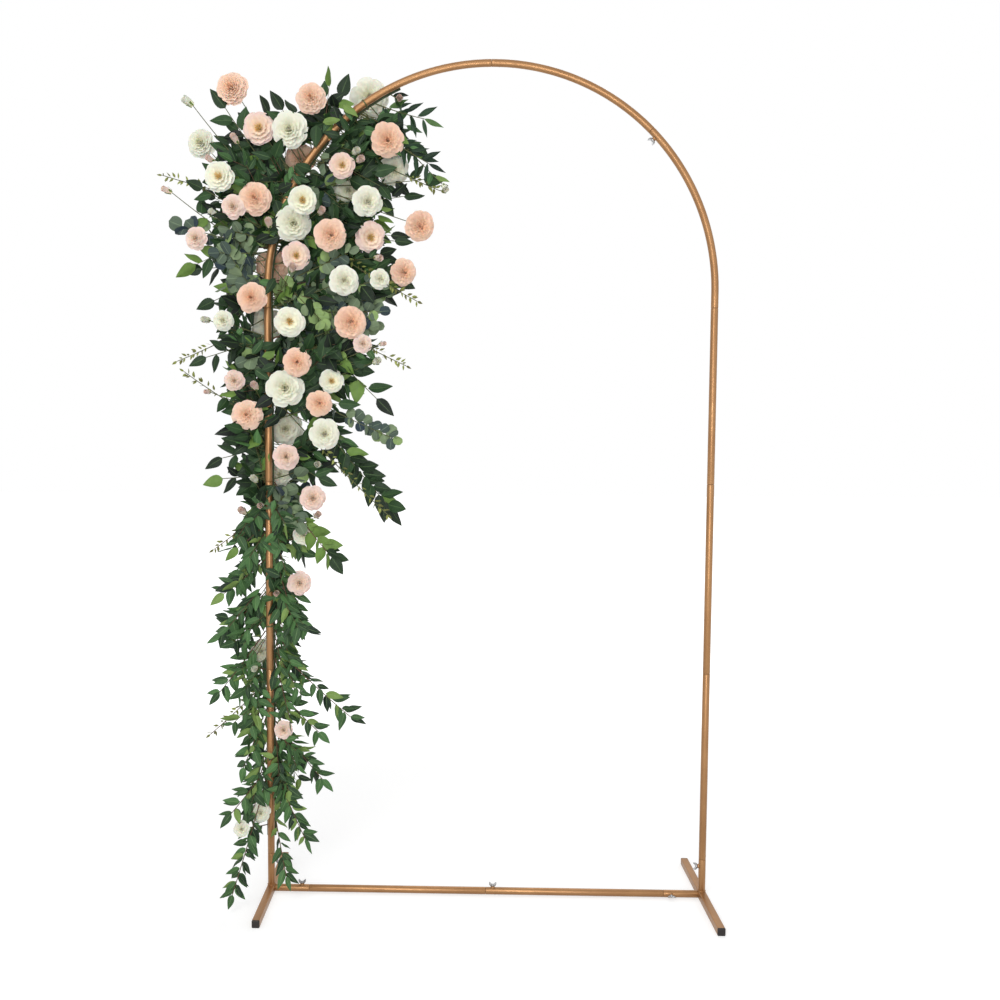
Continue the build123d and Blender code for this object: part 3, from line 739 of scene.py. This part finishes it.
def region_kind(point):
    """Foliage that fills a place of the swag."""
    far = np.hypot(EUCALYPTUS_CLUSTERS[:, 0] - point[0], EUCALYPTUS_CLUSTERS[:, 1] - point[2])
    if np.any(far < EUCALYPTUS_CLUSTERS[:, 2]) and rng.random() < EUCALYPTUS_SHARE:
        return "eucalyptus_leaves"
    if point[2] < VINES_BELOW:
        return "vine_leaves"
    return rng.choice(["rose_leaves"] * 4 + ["vine_leaves"])


# Lowest and highest place of the strands along the tube
STRAND_PLACES = [from_tube(p)[0] for corners in solids_of("garland_strands") for p in corners]
SWAG_ENDS = min(STRAND_PLACES), max(STRAND_PLACES)
BLOOM_NODES = ("peach_roses", "blush_roses", "white_roses")
BLOOM_SPHERES = [read_bloom(corners)[:2] for node in BLOOM_NODES for corners in solids_of(node)]
BLOOM_MIDDLES, BLOOM_RADII = map(np.array, zip(*BLOOM_SPHERES))
BACK_BLOOM = BLOOM_MIDDLES[:, 1] > -0.02      # the blooms at or behind the tube
HIDING_DEPTH = 0.012      # a leaf this far behind a bloom's middle still counts as before it


def hides_bloom(point, back_share=1.12):
    """Whether a leaf at point would cover a bloom's face as seen from the front."""
    eye = np.array(CAMERA_PLACE)
    there, reach = point - eye, BLOOM_MIDDLES - eye
    far = norm(there)
    sight = there / far
    depth = reach @ sight
    miss = norm(reach - np.outer(depth, sight), axis=1)
    covers = miss < BLOOM_RADII * np.where(BACK_BLOOM, back_share, 0.98)
    return bool(np.any(covers & (far < depth + HIDING_DEPTH)))


def leaf_hides_bloom(base, heading, size, outer=0.9):
    """Whether a leaf's middle, or its outer part, would cover a bloom's face."""
    return hides_bloom(base + heading * size * 0.5) or hides_bloom(base + heading * size * outer)


# Lengths of the tube that stay bare in front: from, to along the tube
BARE_TUBE = ((-1.224, -1.157), (-1.01, -0.876), (-0.81, -0.78), (-0.507, -0.456), (-0.438, -0.398),
             (-0.387, -0.344), (-0.133, 0.009), (0.036, 0.112), (0.346, 0.417), (0.54, 0.7))
BARE_WIDTH = 0.034      # to each side of the tube


def is_bare(along):
    """Whether the tube shows at this place along it."""
    return any(low <= along <= high for low, high in BARE_TUBE)


def covers_tube(point):
    """Whether a leaf at point would lie before a bare length of the tube."""
    along, out, front = from_tube(point)
    return abs(out) < BARE_WIDTH and front > 0 and is_bare(along)


# How far the dense foliage reaches: along the tube, outward, inward
REACH = np.array([
    (0.66, 0.0, 0.12), (0.55, 0.02, 0.18), (0.42, 0.12, 0.2), (0.3, 0.21, 0.25),
    (0.15, 0.2, 0.31), (0.0, 0.12, 0.31), (-0.12, 0.1, 0.29), (-0.24, 0.09, 0.23),
    (-0.4, 0.07, 0.18), (-0.52, 0.04, 0.11), (-0.6, 0.03, 0.07), (-0.68, 0.02, 0.03),
])[::-1]
OUTER_TOP = 0.50          # above this place along the tube, nothing grows outward
FILL_LOWEST = 0.95        # height below which the dense foliage ends
FILL_FURTHEST = 0.25      # x beyond which it ends
FILL_SPACING = {"rose_leaves": 0.021, "vine_leaves": 0.019, "eucalyptus_leaves": 0.015}


def shoot_line(start, tip):
    """Direction and length of a shoot, and the direction across it."""
    run = unit(tip - start)
    return run, norm(tip - start), unit(np.cross(run, VIEWER))


def fill_foliage(mesh, shoots):
    """Short leafy shoots off the strands that fill the swag behind its blooms."""
    for _ in range(shoots):
        along = rng.uniform(-0.60, 0.63)
        side = 1 if rng.random() < 0.45 and along < OUTER_TOP else -1
        reach = np.interp(along, REACH[:, 0], REACH[:, 1 if side > 0 else 2])
        tip_along = along + rng.normal(0.0, 0.05) + 0.02
        out = side * max(0.03, reach * rng.uniform(0.25, 1.0) ** 0.6)
        tip = beside(tip_along, out, rng.uniform(-0.07, 0.045))
        start = beside(along, side * ROOT_ASIDE, -CORE_ASIDE)
        run, length, across = shoot_line(start, tip)
        lift = np.cross(across, run)
        steps = np.linspace(0, 1, 6)[:, None]
        sag = np.array([0, 0, -0.06]) * length
        path = start + (tip - start) * steps + sag * steps * (1 - steps)
        if any(hides_bloom(point, 0.9) for point in path):
            continue
        kind = region_kind(tip)
        reached, placed = 0.0, 0
        spacing = FILL_SPACING[kind]
        count = int(length / spacing)
        for k in range(count + 1):
            share = min(1.0, (k + 0.6) * spacing / length)
            here = start + (tip - start) * share
            way = 1 if k % 2 else -1
            heading = unit(run * 0.7 + across * way * 0.75 + lift * rng.uniform(-0.6, 0.6))
            if k == count:
                heading = unit(run)
            size = LEAF_KINDS[kind][2] * rng.uniform(0.8, 1.25)
            middle = here + heading * size * 0.5
            if leaf_hides_bloom(here, heading, size, 0.85) or covers_tube(middle):
                continue
            if middle[2] < FILL_LOWEST or middle[0] > FILL_FURTHEST:
                continue
            facing = VIEWER + 0.6 * rng.normal(size=3)
            add_leaf(kind, here + 0.001 * heading, heading, facing, size, is_young(middle, 0.06))
            reached, placed = share, placed + 1
        if placed:
            shown = start + (tip - start) * reached * steps
            tube(mesh, shown, np.linspace(0.0013, 0.0007, 6), 5, slot=int(rng.random() < 0.35))


VINE_SPAN = (-1.36, -0.52)      # lowest and highest root of a hanging vine, along the tube
# How far hanging vines reach to the side at these places along the tube
VINE_PLACES, VINE_REACH = (-1.36, -1.2, -1.0, -0.8, -0.52), (0.05, 0.09, 0.10, 0.11, 0.10)
VINE_SPACING, VINE_LEAF_SIZE = 0.017, 0.044
VINE_LOWEST = 0.03              # height below which no leaf hangs


def hanging_vines(mesh, shoots):
    """Short shoots of pointed leaves that hang off the lower strands."""
    for _ in range(shoots):
        along = rng.uniform(*VINE_SPAN)
        side = 1 if rng.random() < 0.5 else -1
        reach = np.interp(along, VINE_PLACES, VINE_REACH)
        fall = rng.uniform(0.03, 0.13)
        tip = beside(along - fall, side * reach * rng.uniform(0.3, 1.0), rng.uniform(-0.03, 0.06))
        start = beside(along, side * ROOT_ASIDE, -CORE_ASIDE)
        run, length, across = shoot_line(start, tip)
        steps = np.linspace(0, 1, 5)[:, None]
        brown = int(rng.random() < 0.5)
        tube(mesh, start + (tip - start) * steps, np.linspace(0.0012, 0.0007, 5), 5, slot=brown)
        count = int(length / VINE_SPACING) + 1
        for k in range(count + 1):
            here = start + (tip - start) * min(1.0, (k + 0.5) / count)
            way = 0.8 if k % 2 else -0.8
            heading = unit(run * 0.7 + across * way + (0, rng.uniform(-0.4, 0.4), -0.5))
            size = VINE_LEAF_SIZE * rng.uniform(0.7, 1.2)
            middle = here + heading * size * 0.5
            if hides_bloom(middle) or covers_tube(middle) or middle[2] < VINE_LOWEST:
                continue
            facing = VIEWER + 0.6 * rng.normal(size=3)
            add_leaf("vine_leaves", here, heading, facing, size, is_young(middle, 0.18))


def leaves_before_tube(mesh):
    """Leaves that come round the tube's side and lie across its front."""
    along = VINE_SPAN[0]
    while along < 0.60:
        along += rng.uniform(0.006, 0.013) if along > -0.56 else rng.uniform(0.014, 0.026)
        side = rng.choice([-1, 1])
        base = beside(along, side * rng.uniform(0.016, 0.040), rng.uniform(0.016, 0.034))
        run = unit(beside(along + 0.002, 0, 0) - beside(along, 0, 0))
        inward = unit(beside(along, 0, 0) - beside(along, side * 0.01, 0))
        heading = unit(inward * rng.uniform(0.3, 1.0) + run * rng.uniform(-1.2, 0.5) + (0, -0.15, 0))
        kind = "vine_leaves" if along < -0.5 else rng.choice(["rose_leaves"] * 2 + ["vine_leaves"])
        size = LEAF_KINDS[kind][2] * rng.uniform(0.8, 1.15)
        middle = base + heading * size * 0.5
        if is_bare(along) or hides_bloom(middle, 0.45) or covers_tube(middle):
            continue
        root = beside(along - 0.01, side * ROOT_ASIDE, -CORE_ASIDE)
        tube(mesh, [root, beside(along - 0.004, side * 0.016, 0.004), base], 0.0009, 5)
        facing = VIEWER + 0.25 * rng.normal(size=3)
        add_leaf(kind, base, heading, facing, size, is_young(middle, 0.08))


WIRE_SPACING = {"vine_leaves": 0.014, "twig_leaves": 0.010, "willow_leaves": 0.016}
LOOSE_SPACING, DROOPING_SPACING = 0.020, 0.010


def leaves_on_wires(node, mesh):
    """The wires of a CAD node, with the leaves that grow along them."""
    for corners in solids_of(node):
        ends = wire_ends(corners)
        start, end = ends[0], ends[-1]
        steps = np.linspace(0, 1, 9)[:, None]
        sag = np.array([0, 0, -0.02]) * norm(end - start)
        if len(ends) == 2:
            path = start + (end - start) * steps + sag * 4 * steps * (1 - steps)
        else:
            path = ends
        tube(mesh, path, np.linspace(0.0016, 0.0010, len(path)), 6, slot=int(end[2] < 1.0))
        run, length, across = shoot_line(start, end)
        own = wire_kind(end) if node == "leaf_stems" else None
        drooping = own == "rose_leaves" and end[0] > -0.45 and end[2] < 1.35
        spacing = DROOPING_SPACING if drooping else WIRE_SPACING.get(own, LOOSE_SPACING)
        count = int(length / spacing)
        for k in range(count):
            share = (k + 0.5 + rng.uniform(-0.45, 0.45)) / max(count, 1)
            here = start + (end - start) * share
            kind = own or region_kind(here)
            side = 1 if k % 2 else -1
            heading = run * rng.uniform(0.3, 0.8) + across * side * 0.8 + VIEWER * rng.uniform(-0.6, 0.6)
            heading = unit(heading + (0, 0, -0.35))
            size = LEAF_KINDS[kind][2] * rng.uniform(0.7, 1.2)
            middle = here + heading * size * 0.5
            if leaf_hides_bloom(here, heading, size) or covers_tube(middle):
                continue
            if kind == "rose_leaves" and share > 0.7 and not drooping:
                continue
            facing = VIEWER + 0.5 * rng.normal(size=3)
            add_leaf(kind, here + 0.0015 * heading, heading, facing, size, is_young(middle, 0.12))


stems, flower_stems = Mesh(), Mesh()
fill_foliage(stems, 520)
hanging_vines(stems, 85)
leaves_before_tube(stems)
leaves_on_wires("leaf_stems", stems)
leaves_on_wires("flower_stems", flower_stems)
finish_piece(stems.build("leaf_wires", [STEM, BROWN_STEM]), ["leaf_stems"])

for node, (*_, slot, looks) in LEAF_KINDS.items():
    leaves = leaf_meshes[node].build(node + "_silk", [leaf_material(slot, *looks)])
    finish_piece(leaves, [node])


# Blooms


def petal(mesh, place, turn, tilt, height, width, cup, curl, ruffle, base_out, tone,
          slot=0, grid=(7, 11)):
    """Petal that rises from the bloom's middle, turned about its axis and tilted outward.

    Lengths are shares of the bloom's radius; cup, curl and ruffle are shares of height.
    """
    t, v, uvs = sheet_shares(*grid)
    outline = np.sin(np.clip(t * 0.86 + 0.10, 0, 1) * pi * 0.62) ** 0.8
    half = 0.5 * width * outline
    edge = 1 - 0.16 * np.abs(v) ** 3 * t
    rise = height * t * edge
    phase, speed = rng.uniform(0, 2 * pi), rng.uniform(5, 8)
    out = cup * height * np.sin(t * pi * 0.5) ** 1.6 + curl * height * np.clip(t - 0.62, 0, 1) ** 2 * 4
    out = out - 0.5 * half * v ** 2 * (width / height) * 0.55
    out = out + ruffle * height * t ** 2 * np.sin(speed * v + phase) * 0.5
    x, y, z = base_out + out, half * v, rise
    x, z = x * cos(tilt) + z * sin(tilt), -x * sin(tilt) + z * cos(tilt)
    c, s = cos(turn), sin(turn)
    local = np.stack(np.broadcast_arrays(x * c - y * s, x * s + y * c, z), axis=-1)
    mesh.grid(place[0] + local @ place[1], uvs, tone, slot)


# Layers from outside in: (petals, tilt from the axis in degrees, height, width, cup, curl, ruffle)
FULL_ROSE = [
    (7, 68, 0.98, 0.92, 0.16, 0.16, 0.05), (7, 56, 0.93, 0.86, 0.13, 0.2, 0.07),
    (7, 46, 0.89, 0.76, 0.09, 0.22, 0.1), (8, 37, 0.86, 0.66, 0.06, 0.22, 0.09),
    (8, 29, 0.84, 0.58, 0.04, 0.22, 0.08), (7, 21, 0.82, 0.52, 0.02, 0.2, 0.08),
    (6, 13, 0.83, 0.46, 0.0, 0.18, 0.07), (5, 5, 0.85, 0.38, 0.0, 0.16, 0.06),
    (3, 2, 0.84, 0.34, -0.12, 0.0, 0.04),
]
OPEN_CENTRE = [
    (6, 70, 1.0, 1.0, 0.12, 0.14, 0.05), (6, 57, 0.92, 0.88, 0.1, 0.16, 0.06),
    (6, 45, 0.84, 0.74, 0.06, 0.16, 0.07), (6, 34, 0.72, 0.6, 0.02, 0.14, 0.08),
]
SPIRAL_ROSE = [
    (6, 68, 1.0, 0.98, 0.14, 0.24, 0.05), (6, 54, 0.92, 0.86, 0.1, 0.24, 0.06),
    (5, 43, 0.88, 0.76, 0.06, 0.22, 0.06), (5, 33, 0.85, 0.64, 0.03, 0.2, 0.06),
    (5, 24, 0.82, 0.52, 0.0, 0.18, 0.05), (4, 15, 0.8, 0.42, -0.02, 0.14, 0.04),
    (3, 7, 0.84, 0.36, -0.07, 0.08, 0.03), (3, 2, 0.84, 0.32, -0.13, 0.02, 0.0),
]
BLOOM_BASE, BUD_BASE = -0.42, -0.95      # where petals start, in radii along the axis
TO_FRONT = 1.30      # how far the petals turn from the cup's axis to the viewer's place
STAMEN_COUNT = 46
STAMEN_REACH, STAMEN_HEIGHT, STAMEN_RADIUS = 0.26, 0.52, 0.024      # in radii of the bloom


def bloom_place(middle, radius, axis, base=BLOOM_BASE):
    """Origin and rows of a bloom's own axes, scaled by its radius."""
    side = unit(np.cross(axis, (0.2, 0.1, 1.0)))
    other = np.cross(axis, side)
    spin = rng.uniform(0, 2 * pi)
    side, other = side * cos(spin) + other * sin(spin), other * cos(spin) - side * sin(spin)
    return middle + axis * radius * base, np.array([side, other, axis]) * radius


def calyx(mesh, place):
    """Green cup and five sepals behind a bloom."""
    origin, axes = place
    turned = np.arange(10) * 2 * pi / 10
    rows = []
    for height, radius in ((-0.14, 0.03), (-0.12, 0.10), (0.0, 0.20), (0.06, 0.24)):
        ring = [radius * np.cos(turned), radius * np.sin(turned), np.full(len(turned), height)]
        rows.append(origin + np.stack(ring, axis=1) @ axes)
    mesh.grid(np.array(rows), slot=1, wrap=True)
    for k in range(5):
        petal(mesh, place, 2 * pi * k / 5, radians(78), 0.55, 0.22, 0.0, 0.1, 0.02, 0.02,
              (rng.random(), 0.0), 1, (5, 3))


def stamens(mesh, place):
    """Yellow threads with a thicker head in an open bloom."""
    origin, axes = place
    radii = np.array([0.3, 1.0, 0.5]) * STAMEN_RADIUS * norm(axes[0])
    for _ in range(STAMEN_COUNT):
        turned, out = rng.uniform(0, 2 * pi), STAMEN_REACH * np.sqrt(rng.uniform(0.02, 1))
        foot = np.array([0.3 * out * cos(turned), 0.3 * out * sin(turned), 0.05])
        high = STAMEN_HEIGHT * rng.uniform(0.8, 1.1)
        tip = np.array([out * cos(turned), out * sin(turned), high])
        tube(mesh, [origin + p @ axes for p in (foot, tip * 0.9 + foot * 0.1, tip)], radii, 4, slot=2)


def bloom(mesh, corners, layers, yellow):
    """One rose in place of its solid: layers of petals, stamens if yellow, and the calyx."""
    middle, radius, axis = read_bloom(corners)
    place = bloom_place(middle, radius, unit(axis + TO_FRONT * unit(CAMERA_PLACE - middle)))
    fresh = rng.uniform(0.35, 0.75)
    for level, (count, tilt, height, width, cup, curl, ruffle) in enumerate(layers):
        depth = level / len(layers)
        shift = rng.uniform(0, 2 * pi)
        for k in range(count):
            turn = shift + 2 * pi * (k + rng.uniform(-0.12, 0.12)) / count
            lean = radians(tilt * rng.uniform(0.92, 1.06))
            tall, wide = height * rng.uniform(0.94, 1.04), width * rng.uniform(0.92, 1.06)
            petal(mesh, place, turn, lean, tall, wide, cup, curl, ruffle,
                  0.02 + 0.08 * (1 - depth), (fresh, 0.9 * depth ** 1.2))
    if yellow:
        stamens(mesh, place)
    calyx(mesh, place)


def rose_piece(node, name, material, choose):
    """The blooms of one colour; choose gives a bloom's layers and whether it has stamens."""
    mesh = Mesh()
    for number, corners in enumerate(solids_of(node)):
        bloom(mesh, corners, *choose(number))
    finish_piece(mesh.build(name, [material, SEPAL, STAMEN]), [node])


rose_piece("peach_roses", "peach_blooms", PEACH, lambda k: (FULL_ROSE, False))
rose_piece("blush_roses", "blush_blooms", BLUSH,
           lambda k: (OPEN_CENTRE, True) if k in (0, 1, 3, 5) else (SPIRAL_ROSE, False))
rose_piece("white_roses", "white_blooms", WHITE,
           lambda k: (OPEN_CENTRE, True) if k in (4, 5, 12, 15) else (SPIRAL_ROSE, False))

SMALL_BUD_RADIUS = 0.015
# Small buds in the thick of the swag: along, out, front
SMALL_BUDS = [
    (0.25, -0.11, 0.06), (-0.25, 0.025, 0.05), (-0.495, 0.03, 0.04), (-0.58, 0.065, 0.03),
    (-0.59, -0.135, 0.03), (0.465, -0.095, 0.05), (0.455, -0.12, 0.06), (0.31, 0.175, 0.05),
    (0.155, 0.155, 0.05), (0.17, 0.01, 0.05), (0.055, -0.08, 0.09), (-0.185, -0.295, 0.05),
]
buds, bud_places = Mesh(), []
for corners in solids_of("rose_buds"):
    middle = corners.mean(0)
    along, out, _ = from_tube(middle)
    away = middle - beside(along - 0.6 * abs(out), 0.0, 0.0)
    axis = svd(corners - middle)[2][0]
    axis = axis if axis @ away > 0 else -axis
    bud_places.append((middle, np.ptp((corners - middle) @ axis) / 2, axis))
for along, out, front in SMALL_BUDS:
    middle = beside(along, out, front)
    away = unit(middle - beside(along - 0.1, 0.0, 0.0))
    bud_places.append((middle, SMALL_BUD_RADIUS, unit(0.6 * away + VIEWER)))
    wire = [middle - 0.014 * away, middle - 0.05 * away + (0, 0.02, 0),
            beside(along - 0.1, 0.0, -CORE_ASIDE)]
    tube(flower_stems, wire, 0.001, 6)
for number, (middle, radius, axis) in enumerate(bud_places):
    place = bloom_place(middle, radius, axis, BUD_BASE)
    for level in range(3):
        for k in range(4):
            petal(buds, place, 2 * pi * (k + 0.5 * level) / 4, radians(8 - 3 * level),
                  1.95 - 0.08 * level, 1.05, -0.1, 0.03, 0.03, 0.44 - 0.1 * level,
                  (0.6, 0.2 * level), 0 if number % 3 else 3)
    calyx(buds, place)
    for k in range(5):
        petal(buds, place, 2 * pi * k / 5, radians(9), 1.1, 0.40, 0.0, 0.12, 0.02, 0.50,
              (0.6, 0.5), 1, (6, 3))
finish_piece(buds.build("rose_bud_silk", [BLUSH, SEPAL, STAMEN, WHITE]), ["rose_buds"])
finish_piece(flower_stems.build("flower_wires", [STEM, BROWN_STEM]), ["flower_stems"])


# Garland strands and ties

STRAND_POINTS = 90
low, high = SWAG_ENDS
strands = Mesh()
for side in (1, -1):
    line = [beside(along, side * CORE_ASIDE, -CORE_ASIDE)
            for along in np.linspace(high, low, STRAND_POINTS)]
    tube(strands, line, 0.0034 + 0.0003 * np.sin(np.arange(len(line)) * 1.3), 12)
finish_piece(strands.build("garland_strand_tape", [STRAND]), ["garland_strands"])
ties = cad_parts["swag_ties"]
ties.data.materials.clear()
ties.data.materials.append(STEM)


# Camera, floor and light

WORLD_LIGHT = 0.58      # of the world on the object; it shows white to the camera
turn = (Matrix.Rotation(CAMERA_YAW, 3, "Z") @ Matrix.Rotation(CAMERA_PITCH, 3, "X")
        @ Matrix.Rotation(CAMERA_ROLL, 3, "Y"))
right, forward, up = turn.col[0], turn.col[1], turn.col[2]
camera = bpy.data.objects.new("camera", bpy.data.cameras.new("camera"))
axes = Matrix((right, up, -forward)).transposed().to_4x4()
camera.matrix_world = Matrix.Translation(CAMERA_PLACE) @ axes
camera.data.sensor_width = 36.0
camera.data.lens = CAMERA_FOCAL * camera.data.sensor_width
camera.data.shift_x, camera.data.shift_y = CAMERA_SHIFT
scene = bpy.context.scene
scene.collection.objects.link(camera)
bpy.context.scene.camera = camera
scene.view_settings.view_transform = "Standard"


def backdrop_material():
    """Pale floor that keeps soft shadows and shows white to the camera."""
    m = Nodes("studio_floor").set(Base_Color=(0.55, 0.55, 0.55, 1), Roughness=0.9,
                                  Specular_IOR_Level=0.0)
    m.set(Emission_Color=(1, 1, 1, 1))
    away = m.new("VectorMath", operation="LENGTH")
    m.link(m.new("TexCoord").outputs["Object"], away.inputs[0])
    level = m.map_range(away.outputs["Value"], (1.0, 2.6, 0.54, 0.95), "SMOOTHSTEP")
    m.link(m.math("MULTIPLY", m.seen(), level), m.shader.inputs["Emission Strength"])
    return m.material


bpy.ops.mesh.primitive_plane_add(size=40, location=(0, 0, -0.0005))
floor = bpy.context.object
floor.name = "studio_floor"
floor.data.materials.append(backdrop_material())

scene.world = bpy.data.worlds.new("studio")
world = Nodes("studio", scene.world, "Background").set(Color=(1, 1, 1, 1))
strength = world.map_range(world.seen(), (0.0, 1.0, WORLD_LIGHT, 1.0))
world.link(strength, world.shader.inputs["Strength"])


def lamp(name, place, target, size, power):
    """Square area lamp at place, aimed at target."""
    light = bpy.data.lights.new(name, "AREA")
    light.shape, light.size, light.energy = "SQUARE", size, power
    obj = bpy.data.objects.new(name, light)
    obj.location = place
    obj.rotation_euler = (Vector(target) - Vector(place)).to_track_quat("-Z", "Y").to_euler()
    bpy.context.scene.collection.objects.link(obj)


lamp("key", (-1.4, -3.6, 3.2), (-0.2, 0, 1.2), 2.0, 62)
lamp("front", (-0.1, -3.2, 1.2), (-0.1, 0, 1.2), 1.2, 40)
lamp("fill", (2.6, -2.8, 2.2), (0, 0, 1.2), 2.5, 12)
lamp("back", (0.5, 2.6, 3.4), (0, 0, 1.3), 2.0, 30)
